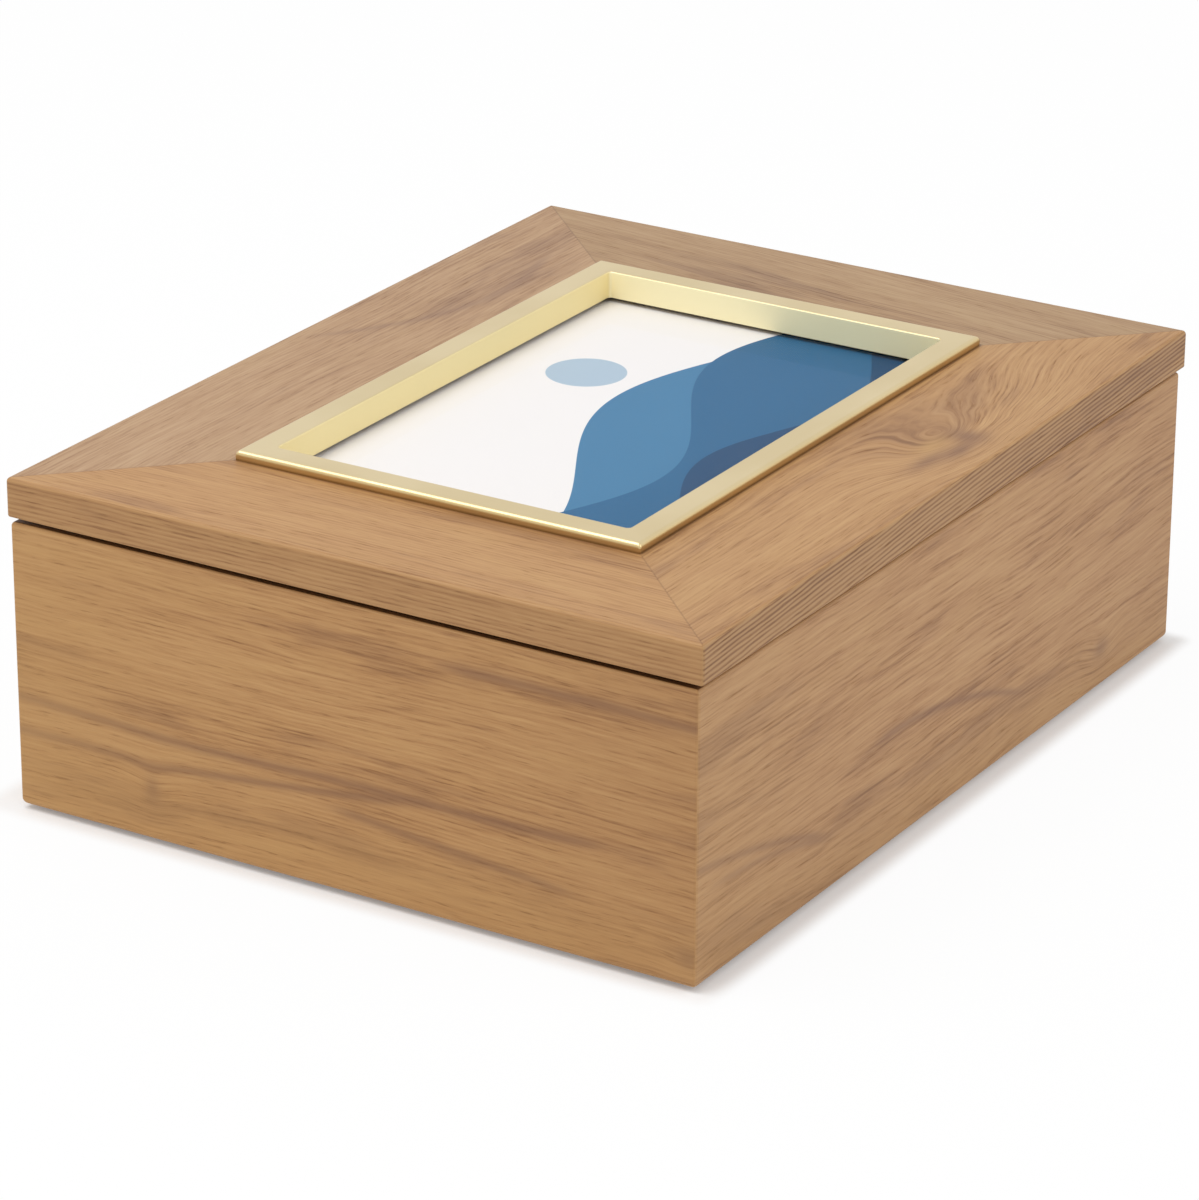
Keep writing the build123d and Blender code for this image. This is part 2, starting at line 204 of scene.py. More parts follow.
class Recipe(Tree):
    """A material: the tree behind it, and the measures that patterns start from."""

    def __init__(self, name, **surface):
        self.material = bpy.data.materials.new(name)
        super().__init__(self.material)
        self.shader = self.tree.nodes["Principled BSDF"]
        self.set(surface)

    def set(self, surface):
        """Give the surface shader its colour, roughness and so on: base_color is "Base Color"."""
        sockets = {socket.name.lower().replace(" ", "_"): socket for socket in self.shader.inputs}
        for name, value in surface.items():
            self.plug(sockets[name], value)

    def place(self):
        """Where a point of the piece is, in millimetres."""
        return [part / MM for part in self.parts("Object")]

    def facing(self):
        """Which way the surface faces there, on the piece itself, so that it turns with the lid."""
        return self.parts("Normal")

    def arris(self, start, end):
        """1 on rounded edges, which face between the axes, and 0 on flat faces."""
        x, y, z = (abs(part) for part in self.facing())
        return x.largest(y).largest(z).rise(start, end)

    def parts(self, coordinate):
        vector = self.node("ShaderNodeTexCoord", output=coordinate)
        split = self.node("ShaderNodeSeparateXYZ", {0: vector}).socket.node
        return [Amount(self, socket) for socket in split.outputs]

    def noise(self, x, y, z, detail=2.0, rough=0.5):
        """Cloudy noise from 0 to 1, with features about 1 across in the three numbers given."""
        place = self.node("ShaderNodeCombineXYZ", {0: x, 1: y, 2: z})
        inputs = {"Vector": place, "Scale": 1.0, "Detail": detail, "Roughness": rough}
        return self.node("ShaderNodeTexNoise", inputs)

    def blend(self, share, below, above, kind="MIX"):
        """Mix two colours, with this share of the second."""
        inputs = {0: share, 6: below, 7: above}
        return self.node("ShaderNodeMix", inputs, 2, data_type="RGBA", blend_type=kind)

    def dents(self, height, depth, strength=1.0):
        """The normal of a surface with this relief, where 1 stands out by depth millimetres."""
        inputs = {"Height": height, "Distance": depth * MM, "Strength": strength}
        return self.node("ShaderNodeBump", inputs)


print("made: Tree and Recipe")

# %% [markdown]
# Three small helpers follow. A colour is picked on a screen, where the numbers are not in
# proportion to the light, so `paint` turns them into light. `span` measures a piece, and
# `dress` gives it its finish.


# %% Colours, measures and dressing
def paint(*shades):
    """A colour picked on a screen, 0 to 255, as the linear numbers that Blender mixes."""
    return (*(((shade / 255 + 0.055) / 1.055) ** 2.4 for shade in shades), 1.0)


def span(name):
    """The size of a CAD piece along x, y and z, in millimetres."""
    low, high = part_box(name)
    return (high - low) / MM


def dress(recipe, *names):
    """Put a material on CAD pieces."""
    for name in names:
        for slot in nodes[name].material_slots:
            slot.material = recipe.material


print("white is", paint(255, 255, 255))

# %% [markdown]
# ## Oak veneer
#
# Veneer is a thin leaf sliced from a log, and what shows is the slice through the growth rings.
# So grain is drawn here as the log would: a number `ring` says how far across the log a point
# lies, and every line of the wood follows an equal value of it. On a straight leaf, `ring` is
# just the distance across the board. Slow noise bends it, and a knot pushes it aside, so that
# the lines swing round.
#
# Layers are then read along those lines, each of them noise that is stretched along the grain:
# broad bands of tone, growth lines of a millimetre or two, fine fibre, and the short dark
# dashes that are oak's open pores. An image of wood could do this too, but it would repeat, and
# it would stop at each edge. First come the colours and the scale of each layer.

# %% Colours and layers of oak
PALE, HONEY, UMBER = paint(198, 157, 107), paint(170, 125, 79), paint(108, 72, 44)
BAND, STRAW = paint(130, 93, 68), paint(190, 150, 96)
GAP_SHADE = paint(66, 44, 28)  # painted shade for the tops of the walls, which lie in the gap under the lid

# Of each layer: how long and how wide its features are, in mm, and its slice of the noise
SWAY, RIPPLE = (150, 70, 0), (34, 16, 40)
TONE, CLOUD = (150, 13, 80), (36, 7, 280)
LINES, FIBRE, PORES = (24, 0.95, 120), (7, 0.33, 160), (5, 0.36, 200)
COMB_GAP = 1.15  # mm between the even lines of growth
FADE = 7.0  # mm over which a band starts and ends

print("a pale streak of oak is", [round(part, 3) for part in PALE[:3]])

# %% [markdown]
# Each face of a board has a leaf of its own. So the direction that the surface faces picks
# another slice of the noise, and the change falls on the rounded arris, just as the glued edge
# of a real leaf does. The direction also says how to measure across the board: a rail that lies
# flat is measured through its width, and an upright wall by its height.

# %% A leaf and its board
TOP_SLICE, SIDE_SLICE = 3.7, 7.3  # how far apart the leaves of a board's faces lie in the noise
LEVEL_FROM, LEVEL_TO = 0.69, 0.71  # about 45 degrees: where a face starts to count as level


class Leaf(Recipe):
    """The veneer of one board, and where a point of the surface lies on that board."""

    def __init__(self, name, run, seed, lid):
        super().__init__(name, specular_ior_level=0.35)
        self.lid = lid
        self.x, self.y, z = self.place()
        facing_x, facing_y, self.facing_z = self.facing()
        if run == "x":
            self.along, through, facing = self.x, self.y, facing_y
        else:
            self.along, through, facing = self.y, self.x, facing_x
        self.level = abs(self.facing_z).rise(LEVEL_FROM, LEVEL_TO)
        self.across = z + self.level * (through - z)
        self.narrow = 1 - self.level if lid else self.level  # the board's narrow faces
        self.slice = round(self.facing_z) * TOP_SLICE + round(facing) * SIDE_SLICE + seed

    def layer(self, scale, over, **looks):
        """One layer of the wood, from 0 to 1."""
        length, width, apart = scale
        return self.noise(self.along / length, over / width, self.slice + apart, **looks)


print("layers of oak:", len((SWAY, RIPPLE, TONE, CLOUD, LINES, FIBRE, PORES)))

# %% [markdown]
# The number `ring` starts as the distance across the board. Slow noise bends it, less on the
# narrow faces, whose grain is straighter. A knot is a branch that the rings had to grow round,
# so it pushes them aside, most in its middle and less and less further out.
#
# A knot is listed as its middle along and across the board, how far it reaches each way, and
# how far it pushes the rings, all in millimetres.

# %% Rings and knots
def out_from(u, v, reach_u, reach_v):
    """How far a place is from an ellipse's middle, squared: 0 there and 1 on the rim."""
    return u / reach_u * (u / reach_u) + v / reach_v * (v / reach_v)


def rings(leaf, bow, slant, edge_slope, knots):
    """How far across the log each point is, the ripple in that, and the knots' eyes and halo."""
    sway = leaf.layer(SWAY, leaf.across, detail=1.5) - 0.5
    ripple = leaf.layer(RIPPLE, leaf.across) - 0.5
    bend = sway * (bow * 2.2) + ripple * 1.6 - leaf.along * slant
    ring = leaf.across + bend * (1 - leaf.narrow * 0.8) - leaf.narrow * leaf.along * edge_slope
    eye = halo = 0.0
    for u, v, reach_u, reach_v, push in knots:
        out = out_from(leaf.along - u, leaf.across - v, reach_u, reach_v) * (ripple * 1.2 + 1)
        ring = ring + out.fade() * push
        eye = (out * 6).fade() + eye
        halo = out.fade() * 0.9 + halo
    return ring, ripple, eye, halo


print("a knot of 10 mm, 20 mm out:", out_from(20, 0, 10, 10))

# %% [markdown]
# Some figures of the wood are placed one by one, where the photograph shows them:
#
# - a band follows the rings. It is listed as where it crosses the board's middle, its slope,
#   its curve and its width, the places where it starts and ends, and how dark it is;
# - a patch lies on the broad faces. It is listed as its middle, its reach each way, and how
#   much darker it is, or paler where that is below 0;
# - the eye of a knot is dark on the walls. On the lid, patches give its shape.

# %% Figures placed one by one
def figures(leaf, colour, ring, ripple, cloud, eye, bands, patches):
    """The colour with its bands, eyes and patches."""
    along = leaf.along
    for v, slope, curve, width, first, last, share in bands:
        line = ((ring - (along * slope + along * along * curve + v)) / width).hump()
        window = along.rise(first - FADE, first + FADE) * along.rise(last + FADE, last - FADE)
        colour = leaf.blend(line * window * share, colour, BAND)
    if eye and not leaf.lid:
        colour = leaf.blend(eye.smallest(1.0) * 0.7, colour, BAND)
    for u, v, reach_u, reach_v, share in patches:
        out = out_from(along - u + cloud * 4, leaf.across - v + ripple * 3, reach_u, reach_v)
        there = out.fade() * abs(share) * (1 - leaf.narrow)
        colour = leaf.blend(there, colour, BAND if share > 0 else STRAW)
    return colour


print("a band fades over", FADE, "mm")

# %% [markdown]
# Mitres show as hairlines across the lid, so the recipe has to know where they run. The lid and
# the body are each a ring of four boards, and their sizes are read from the pieces. Where the
# boards of a ring differ in width, the mitre leans off 45 degrees. A line of painted shade also
# darkens the wood where it meets the picture frame.

# %% Where the seams and the painted shade beside the frame run
# Of each line: how far from the seam it starts and where it is full, in mm, and how dark it is
MITRE_LINE = (0.3, 0.06, 0.34)
# painted shade: a dark line on the wood beside the picture frame
FRAME_SHADE_LINE = (0.9, 0.1, 0.55)
SQUARE_ON = 0.7  # turns a distance along x or y into one square to the mitre


def border(front, back, left, right):
    """Half the length and depth of four boards, their middle in y, and the lean of their mitres."""
    half_x = (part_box(right)[1].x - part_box(left)[0].x) / 2 / MM
    low_y, high_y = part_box(front)[0].y / MM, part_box(back)[1].y / MM
    return half_x, (high_y - low_y) / 2, (high_y + low_y) / 2, span(front).y / span(left).x


LID_BORDER = border("lid_front_rail", "lid_back_rail", "lid_left_rail", "lid_right_rail")
BODY_BORDER = border("base_front_wall", "base_back_wall", "base_left_wall", "base_right_wall")
LID_MIDDLE_Y = LID_BORDER[2]
FRAME_HALF_X, FRAME_HALF_Y = span("picture_frame").xy / 2


def seams_and_frame_shade(leaf):
    """The hairline of the mitres, and on the lid also a line of painted shade beside the picture frame.
    """
    half_x, half_y, middle_y, lean = LID_BORDER if leaf.lid else BODY_BORDER
    from_x, from_y = abs(leaf.x), abs(leaf.y - middle_y)
    start, full, share = MITRE_LINE
    aside = abs((half_x - from_x) * lean - (half_y - from_y)) * SQUARE_ON
    seam_and_shade = aside.rise(start, full) * share
    if leaf.lid:
        start, full, share = FRAME_SHADE_LINE
        beside = (from_x - FRAME_HALF_X).largest(from_y - FRAME_HALF_Y)
        seam_and_shade = seam_and_shade.largest(beside.rise(start, full) * share)
    return seam_and_shade * leaf.level


print("lean of the lid's mitres:", round(LID_BORDER[3], 3))

# %% [markdown]
# The recipe puts these together. The layers add up to the grain, and the grain picks the colour
# between pale, honey and umber. The pores are laid over it, then the seams with the painted shade
# beside the picture frame, and at last the arrises, which hands have rubbed a little paler. The
# tops of the walls, in the gap under the lid, get painted shade. The same layers give the relief
# and the roughness, so that each dark pore is also a small dent.

# %% The oak recipe
def oak(
    name,
    run,  # the axis that the grain follows, "x" or "y"
    seed,
    lid=False,
    bow=6.0,  # how far slow noise bends the grain
    slant=0.0,  # and how far it leans off the board
    streaks=1.0,  # how strong the growth lines are against the pores
    edge=(0.17, 0.22, 0.0),  # of the narrow faces: how strong the comb is, how dark, and its slope
    # the board's own colour, and on the back and right rails a painted sheen
    tint_and_sheen=(1, 1, 1),
    knots=(),
    patches=(),
    bands=(),
):
    """The veneer of one board."""
    leaf = Leaf(name, run, seed, lid)
    edge_comb, edge_shade, edge_slope = edge
    ring, ripple, eye, halo = rings(leaf, bow, slant, edge_slope, knots)

    # The layers, read along the rings
    tone = leaf.layer(TONE, ring, detail=2.5, rough=0.55)
    cloud = leaf.layer(CLOUD, ring, detail=3, rough=0.6)
    lines = leaf.layer(LINES, ring, detail=3.5, rough=0.62)
    fibre = leaf.layer(FIBRE, ring, rough=0.6)
    comb = (ring * (tau / COMB_GAP) + cloud * 9).sine() * (0.06 + leaf.narrow * edge_comb)
    pores = leaf.layer(PORES, ring, detail=1.5).rise(0.55, 0.72) * (lines + comb).rise(0.65, 0.3)

    # Their sum is the grain, stronger round a knot, and the grain picks the colour
    grain = (tone - 0.5) * 0.55 + (cloud - 0.5) * (0.3 * streaks) + comb
    grain = grain + ((lines - 0.5) * streaks + (fibre - 0.5) * 0.5) * (halo * 0.6 + 1.0)
    colour = leaf.blend((0.45 + grain).rise(0, 1), HONEY, PALE)
    colour = leaf.blend(cloud.rise(0.5, 0.7) * 0.2, colour, STRAW)
    colour = leaf.blend((tone + cloud).rise(0.95, 0.7) * 0.3, colour, BAND)
    colour = leaf.blend((0.5 - grain).rise(0.5, 1.15) * 0.7, colour, UMBER)
    colour = figures(leaf, colour, ring, ripple, cloud, eye, bands, patches)
    colour = leaf.blend(pores * (0.37 / streaks), colour, UMBER)

    # The narrow faces, the seams, the painted shade on wall tops and by the frame, and the arrises
    if lid:
        colour = leaf.blend(leaf.narrow * edge_shade, colour, BAND)
    else:
        # painted shade: the top faces of the walls, in the gap under the lid, are darkened
        colour = leaf.blend(leaf.facing_z.rise(0.9, 0.97) * 0.72, colour, GAP_SHADE)
    colour = leaf.blend(seams_and_frame_shade(leaf), colour, UMBER)
    colour = leaf.blend(leaf.arris(0.985, 0.85) * 0.22, colour, PALE)
    colour = leaf.blend(1.0, colour, (*tint_and_sheen, 1), kind="MULTIPLY")

    relief = lines * 0.35 + fibre * 0.3 - pores
    leaf.set(
        {
            "base_color": colour,
            "roughness": 0.5 + pores * 0.2 - grain * 0.08,
            "normal": leaf.dents(relief, 0.05, 0.5),
        }
    )
    return leaf


print("lines of growth in a centimetre:", round(10 / COMB_GAP, 1))

# %% [markdown]
# Every board gets a recipe of its own, as every board of the real box was cut from another
# leaf. The four walls run level, the four rails follow the lid's sides. Where the photograph
# shows a figure, such as the knot in the front rail or the slanting bands low on the left wall,
# it is listed.

# %% Boards of the body and the lid
boards = {
    "base_front_wall": oak(
        "front wall",
        "x",
        3,
        streaks=1.4,
        tint_and_sheen=(0.96, 0.94, 1.0),
        knots=[(79, 11.5, 9, 6, 3)],
        patches=[(0, 5, 200, 12, -0.35), (-112, 36, 40, 60, -0.3), (112, 40, 50, 60, 0.09)],
        bands=[
            (-13.1, -0.615, -0.00213, 1.3, -125, -60, 0.6),
            (-9.7, -0.554, -0.00232, 1.1, -108, -60, 0.5),
            (27.1, -0.214, -0.00324, 1.3, -36, 36, 0.6),
        ],
    ),
    "base_back_wall": oak("back wall", "x", 23),
    "base_left_wall": oak(
        "left wall",
        "y",
        43,
        bow=3,
        tint_and_sheen=(1.0, 0.955, 0.88),
        knots=[(51, 13.5, 6, 9, 1.5), (-92, 8, 7, 6, 1)],
        patches=[(0, 8, 200, 9, -0.4), (-92, 38, 45, 60, 0.16), (90, 36, 35, 60, -0.35)],
        bands=[
            (27.6, -0.0145, 0.00033, 1.3, -70, 110, 0.65),
            (24.3, -0.11, 0.00078, 1.2, -18, 110, 0.65),
            (20.3, 0.07, 0.0, 1.2, -62, 0, 0.6),
            (63.0, 0.0, 0.0, 1.4, -110, -30, 0.65),
        ],
    ),
    "base_right_wall": oak("right wall", "y", 63, bow=5),
    "lid_front_rail": oak(
        "front rail",
        "x",
        83,
        lid=True,
        bow=5,
        edge=(0.34, 0.22, 0.06),
        tint_and_sheen=(0.92, 0.9, 0.88),
        knots=[(16, -81, 21, 12, 15), (50, -80, 27, 16, 10)],
        patches=[
            (6, -84, 9, 2.5, 0.7),
            (16, -87, 8, 2.5, 0.8),
            (25, -84, 4.5, 5, 0.8),
            (15, -80, 7, 3, -0.7),
        ],
    ),
    # its greyer, bluer tint is a painted sheen, standing in for a white glossy reflection
    "lid_back_rail": oak(
        "back rail",
        "x",
        103,
        lid=True,
        tint_and_sheen=(0.88, 0.96, 1.25),
        bands=[(84, -0.776, 0.00725, 1.6, 0, 78, 0.35)],
    ),
    "lid_left_rail": oak(
        "left rail",
        "y",
        123,
        lid=True,
        streaks=0.85,
        edge=(0.08, 0.1, 0.0),
        tint_and_sheen=(0.94, 0.905, 0.86),
    ),
    # its greyer tint is a painted sheen, standing in for a white glossy reflection
    "lid_right_rail": oak("right rail", "y", 143, lid=True, slant=0.12, tint_and_sheen=(0.79, 0.87, 1.07)),
}
for name, recipe in boards.items():
    dress(recipe, name)
print("boards:", len(boards))

# %% [markdown]
# ## The gold frame
#
# The frame is one casting with a fine satin finish. A metal has hardly any colour of its own:
# it tints what it mirrors. So the flat top is a pale gold with a low roughness, and very fine
# noise stands in for the satin. The walls round the opening mostly see the print and each
# other. In the photograph they look warmer and softer than a plain mirror would, and the one at
# the right end is the palest. So there the metal gives way to a rougher gold, with a paler gold
# as painted light, palest at the right end as a painted reflection. The outer sides get a darker
# gold as painted shade, and a painted shadow line runs along their foot.

# %% Gold
TOP_BAND = 7.0  # mm, the frame's flat top
LID_TOP_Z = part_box("lid_left_rail")[1].z / MM

gold = Recipe("satin gold")
x, y, z = gold.place()
facing_x, _, facing_z = gold.facing()
upright = abs(facing_z).rise(0.85, 0.35)
right_end_painted_light = facing_x.rise(-0.5, -0.9)  # the wall there looks back along the frame
past_x = abs(x) - (FRAME_HALF_X - TOP_BAND / 2)
past_y = abs(y - LID_MIDDLE_Y) - (FRAME_HALF_Y - TOP_BAND / 2)
outside = past_x.largest(past_y).rise(0, 1)
inner = upright * (1 - outside)

haze = gold.noise(x / 40, y / 40, z / 40, detail=3)
satin = gold.noise(x / 0.25, y / 0.25, z / 0.25)
# painted shade: a dark line at the foot of the frame's outer sides, where it stands on the wood
seam_and_shade = abs(z - LID_TOP_Z).rise(0.75, 0.15) * upright * outside
base = gold.blend(haze.rise(0.35, 0.65), paint(218, 200, 158), paint(211, 192, 148))
# painted light: the walls round the opening get a paler gold
base = gold.blend(inner * 0.9, base, paint(247, 230, 172))
# painted reflection: the wall at the right end gets the palest gold
base = gold.blend(inner * right_end_painted_light * 0.85, base, paint(255, 246, 204))
# painted shade: the frame's outer sides get a darker gold
base = gold.blend(upright * outside * 0.5, base, paint(205, 173, 110))
gold.set(
    {
        "base_color": gold.blend(seam_and_shade * 0.6, base, paint(120, 84, 40)),
        "metallic": 1 - inner * 0.8,
        "roughness": 0.26 + satin * 0.08 + haze * 0.06 + inner * 0.25,
        "normal": gold.dents(satin, 0.01, 0.35),
    }
)
dress(gold, "picture_frame")
print("frame stands", round(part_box("picture_frame")[1].z / MM - LID_TOP_Z, 2), "mm proud")

# %% [markdown]
# ## Glass
#
# Clear glass shows what is behind it and mirrors a little, more so the flatter one looks along
# it. A real glass shader would bend the light and hold lamps back from the card. A pane this
# thin hardly bends anything, so it is mixed from a clear shader and a mirror, with the Fresnel
# node as the share. Only the face that the light enters mirrors, or the pane would count each
# reflection twice.

# %% Glass
MIRROR_SHARE = 0.2
glass = Recipe("glass")
entering = 1 - glass.node("ShaderNodeNewGeometry", output="Backfacing")
mirror = glass.node("ShaderNodeFresnel", {"IOR": 1.5}) * entering * MIRROR_SHARE
clear = glass.node("ShaderNodeBsdfTransparent", {"Color": (0.995, 0.998, 0.996, 1)})
glass.set({"metallic": 1.0, "base_color": (1, 1, 1, 1), "roughness": 0.02})
mirroring = Amount(glass, glass.shader.outputs[0])
pane = glass.node("ShaderNodeMixShader", {0: mirror, 1: clear, 2: mirroring})
glass.plug(glass.tree.nodes["Material Output"].inputs["Surface"], pane)
dress(glass, "glass_pane")
print("glass thickness in mm:", round(span("glass_pane").z, 2))

# %% [markdown]
# ## The print behind the glass
#
# The box is sold with a printed card in its frame. This one holds a plain landscape of flat
# shapes: an off-white sky, a pale disc, and three hills in blues. Each hill is a height that
# waves along the card, and a point is on the hill where it lies below that height.

# %% Printed card
INK_EDGE = 0.08  # mm over which one flat colour gives way to the next
DISC_X, DISC_Y, DISC_R = 26, 25, 10  # mm from the card's middle
SKY, DISC = paint(238, 234, 234), paint(172, 191, 208)
FAR, MIDDLE, NEAR = paint(66, 122, 162), paint(40, 98, 140), paint(24, 70, 110)

card = Recipe("printed card", roughness=0.5, specular_ior_level=0.05)
x, y, z = card.place()
v = y - LID_MIDDLE_Y
fibres = card.noise(x / 0.5, y / 0.5, z)
off_x, off_y = x - DISC_X, v - DISC_Y
from_disc = (off_x * off_x + off_y * off_y).maths("SQRT")
picture = card.blend(from_disc.rise(DISC_R + INK_EDGE, DISC_R - INK_EDGE), SKY, DISC)
for level, swing, length, start, ink in (
    (-4, 13, 27, 1.1, FAR),
    (-13, 12, 23, -0.6, MIDDLE),
    (-36, 8, 17, 2.2, NEAR),
):
    hill = (x / length + start).sine() * swing + level + x * 0.08
    picture = card.blend((hill - v).rise(-INK_EDGE, INK_EDGE), picture, ink)
picture = card.blend(fibres * 0.01, picture, SKY)
card.set({"base_color": picture, "normal": card.dents(fibres, 0.01, 0.1)})
dress(card, "picture_card")
opening = [round(2 * (half - TOP_BAND), 1) for half in (FRAME_HALF_X, FRAME_HALF_Y)]
print("the print shows, in mm:", opening)

# %% [markdown]
# ## Boards that do not show from outside
#
# The bottom and the backing of the picture are hardboard: wood fibre pressed hot, brown and
# faintly speckled, smooth on one side. The tongues in the mitres are beech.

# %% Hardboard and beech
hardboard = Recipe("hardboard", specular_ior_level=0.3)
x, y, z = hardboard.place()
clumps = hardboard.noise(x / 6, y / 6, z, detail=3)
strands = hardboard.noise(x / 0.9, y / 0.5, z, detail=3, rough=0.7)
tone = (clumps - 0.5) * 0.7 + (strands - 0.5) * 1.2 + 0.5
hardboard.set(
    {
        "base_color": hardboard.blend(tone.rise(0.0, 1.0), paint(104, 74, 50), paint(158, 122, 86)),
        "roughness": 0.55 + strands * 0.25,
        "normal": hardboard.dents(strands, 0.06, 0.5),
    }
)
dress(hardboard, "base_bottom_board", "backing_board")

beech = Recipe("beech")
x, y, z = beech.place()
flecks = beech.noise((x + y) / 1.2, z / 3, (x - y) / 6, detail=3)
colour = beech.blend(flecks.rise(0.3, 0.7), paint(205, 172, 128), paint(226, 198, 156))
beech.set(
    {
        "base_color": colour,
        "roughness": 0.6 + flecks * 0.15,
    }
)
corners = ("front_left", "front_right", "back_left", "back_right")
dress(beech, *(f"{part}_spline_{corner}" for part in ("base", "lid") for corner in corners))
print("hardboard thickness in mm:", round(span("backing_board").z, 2))

# %% [markdown]
# ## Metal fittings
#
# The hinges are brass, brushed along their length, and their rubbed edges are bright. Noise
# that is long in x and very fine in y and z gives the brush marks.

# %% Brass
brass = Recipe("hinge brass", metallic=1.0)
x, y, z = brass.place()
brush = brass.noise(x / 9, y / 0.12, z / 0.12)
stain = brass.noise(x / 7, y / 7, z / 7, detail=3)
colour = brass.blend(stain.rise(0.3, 0.7), paint(214, 180, 112), paint(194, 156, 88))
brass.set(
    {
        "base_color": brass.blend(brass.arris(0.98, 0.8) * 0.4, colour, paint(236, 210, 150)),
        "roughness": 0.26 + brush * 0.12 + stain * 0.08,
        "normal": brass.dents(brush, 0.01, 0.4),
    }
)
ends = ("left", "right")
dress(brass, *(f"hinge_{end}_{part}" for end in ends for part in ("base_leaf", "lid_leaf", "pin")))
print("pin across in mm:", round(span("hinge_left_pin").y, 2))

# %% [markdown]
# The screws and turn buttons are zinc plated steel: greyer, with a crystalline mottle in the
# plating. The bumpers on the front wall are dots of clear soft plastic, which lets much of the
# light through.

# %% Plated steel and clear bumpers
steel = Recipe("plated steel", metallic=1.0)
x, y, z = steel.place()
mottle = steel.noise(x / 1.6, y / 1.6, z / 1.6, detail=3)
scuffs = steel.noise(x / 0.15, y / 5, z / 0.3)
colour = steel.blend(mottle.rise(0.3, 0.7), paint(196, 195, 190), paint(222, 221, 216))
steel.set(
    {
        "base_color": colour,
        "roughness": 0.26 + scuffs * 0.12 + mottle * 0.1,
        "normal": steel.dents(scuffs, 0.01, 0.3),
    }
)
dress(steel, "turn_button_screws", "base_hinge_screws", "lid_hinge_screws")
dress(steel, *(f"turn_button_{corner}" for corner in corners))

bumper = Recipe("clear bumper", transmission_weight=0.6, ior=1.45)
x, y, z = bumper.place()
cloud = bumper.noise(x, y, z)
bumper.set(
    {
        "base_color": bumper.blend(cloud, paint(222, 224, 219), paint(236, 237, 233)),
        "roughness": 0.2 + cloud * 0.15,
    }
)
dress(bumper, *(f"bumper_{end}" for end in ends))
print("bumper height in mm:", round(span("bumper_left").z, 2))

# %% [markdown]
# ## Felt
#
# Felt is pressed wool: no weave, only a tangle of fibres with a short nap. Its colour is almost
# one colour, and what makes it felt is the relief, the faint clumps in it, and the sheen of the
# nap where one looks along it. The sheen is a constant of the shader, and noise gives the rest.

# %% Felt material
felt = Recipe("charcoal felt", sheen_weight=0.35, sheen_roughness=0.5, specular_ior_level=0.1)
x, y, z = felt.place()
clumps = felt.noise(x / 3.5, y / 3.5, z / 3.5, detail=3)
strands = felt.noise(x / 1.5 + clumps * 5, y / 0.5 + clumps * 5, z / 0.5, detail=3, rough=0.7)
nap = felt.noise(x / 0.3, y / 0.3, z / 0.3, detail=3, rough=0.7)
shade = (clumps * 0.15 + strands * 0.45 + nap * 0.4).rise(0.3, 0.7)
felt.set(
    {
        "base_color": felt.blend(shade, paint(40, 39, 41), paint(84, 82, 83)),
        "roughness": 0.85 + nap * 0.1,
        "normal": felt.dents(nap + strands * 0.8, 0.15, 0.8),
    }
)
print("felt is made of", len(felt.tree.nodes), "nodes")

# %% [markdown]
# ## The lining
#
# A sheet of felt is laid on the bottom board. It is cut by hand to the inside of the box, so it
# lies flat with hardly a wave, and its cut edges are soft and not quite straight. A grid of
# points is made first, and its rim is drawn in by a hair where the shears strayed.

# %% A sheet of points
from mathutils import noise

FELT_T = 1.4 * MM
CELL = 2.5 * MM  # of the grid of points
CUT_SHORT, STRAY = 0.3 * MM, 0.25 * MM  # what the shears took off each side, and how they wandered
WAVE = 0.09 * MM  # how far the sheet lifts
AT_THE_EDGE = 0.499  # share of the sheet's side, from its middle, where the last row of points lies

low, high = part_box("base_lining")
size = high - low
count_x, count_y = round(size.x / CELL), round(size.y / CELL)
bm = bmesh.new()
bmesh.ops.create_grid(bm, x_segments=count_x, y_segments=count_y, size=0.5)
for vertex in bm.verts:
    shares = vertex.co.xy
    place = Vector((shares.x * size.x, shares.y * size.y, 0)) + (low + high) / 2
    drawn_in = max(0, CUT_SHORT + noise.noise(place * 60) * STRAY)
    for axis in range(2):
        if abs(shares[axis]) > AT_THE_EDGE:
            place[axis] -= copysign(drawn_in, shares[axis])
    place.z = low.z + FELT_T / 2 + abs(noise.noise(place * 25)) * WAVE
    vertex.co = place
mesh = bpy.data.meshes.new("cut felt")
bm.to_mesh(mesh)
bm.free()
print("points in the sheet:", len(mesh.vertices))

# %% [markdown]
# The sheet gets its thickness from Solidify and its soft rim from Bevel. `plain_mesh` then
# takes the finished shape and drops the modifiers, so that the piece is a mesh like any other.
# It rides on the body of the box, and stands for the plain slab of the CAD model.

# %% Felt lining
RIM_R = 0.4 * MM  # how far the cut edge is rounded


def plain_mesh(name, obj):
    """The finished shape of an object, its modifiers applied, as a plain object at the origin."""
    shown = obj.evaluated_get(bpy.context.evaluated_depsgraph_get())
    mesh = bpy.data.meshes.new_from_object(shown)
    mesh.name = name
    piece = bpy.data.objects.new(name, mesh)
    bpy.context.scene.collection.objects.link(piece)
    bpy.data.objects.remove(obj)
    return piece


cut = bpy.data.objects.new("cut felt", mesh)
bpy.context.scene.collection.objects.link(cut)
thick = cut.modifiers.new("thickness", "SOLIDIFY")
thick.thickness, thick.offset = FELT_T, 0
soft_rim = cut.modifiers.new("soft rim", "BEVEL")
soft_rim.width, soft_rim.segments, soft_rim.angle_limit = RIM_R, 3, radians(60)

lining = plain_mesh("felt_lining", cut)
lining.data.materials.append(felt.material)
lining.data.shade_smooth()
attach(lining, "base")
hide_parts("base_lining")
size.x
size.y
print("lining:", len(lining.data.polygons), "faces")

# %% [markdown]
# ## The feet
#
# Four felt discs under the corners are the same piece four times over, which is what Geometry
# Nodes are for. The class below builds such a tree. Its sizes are inputs with names, and the
# modifier that holds them is set by the identifier of each socket.


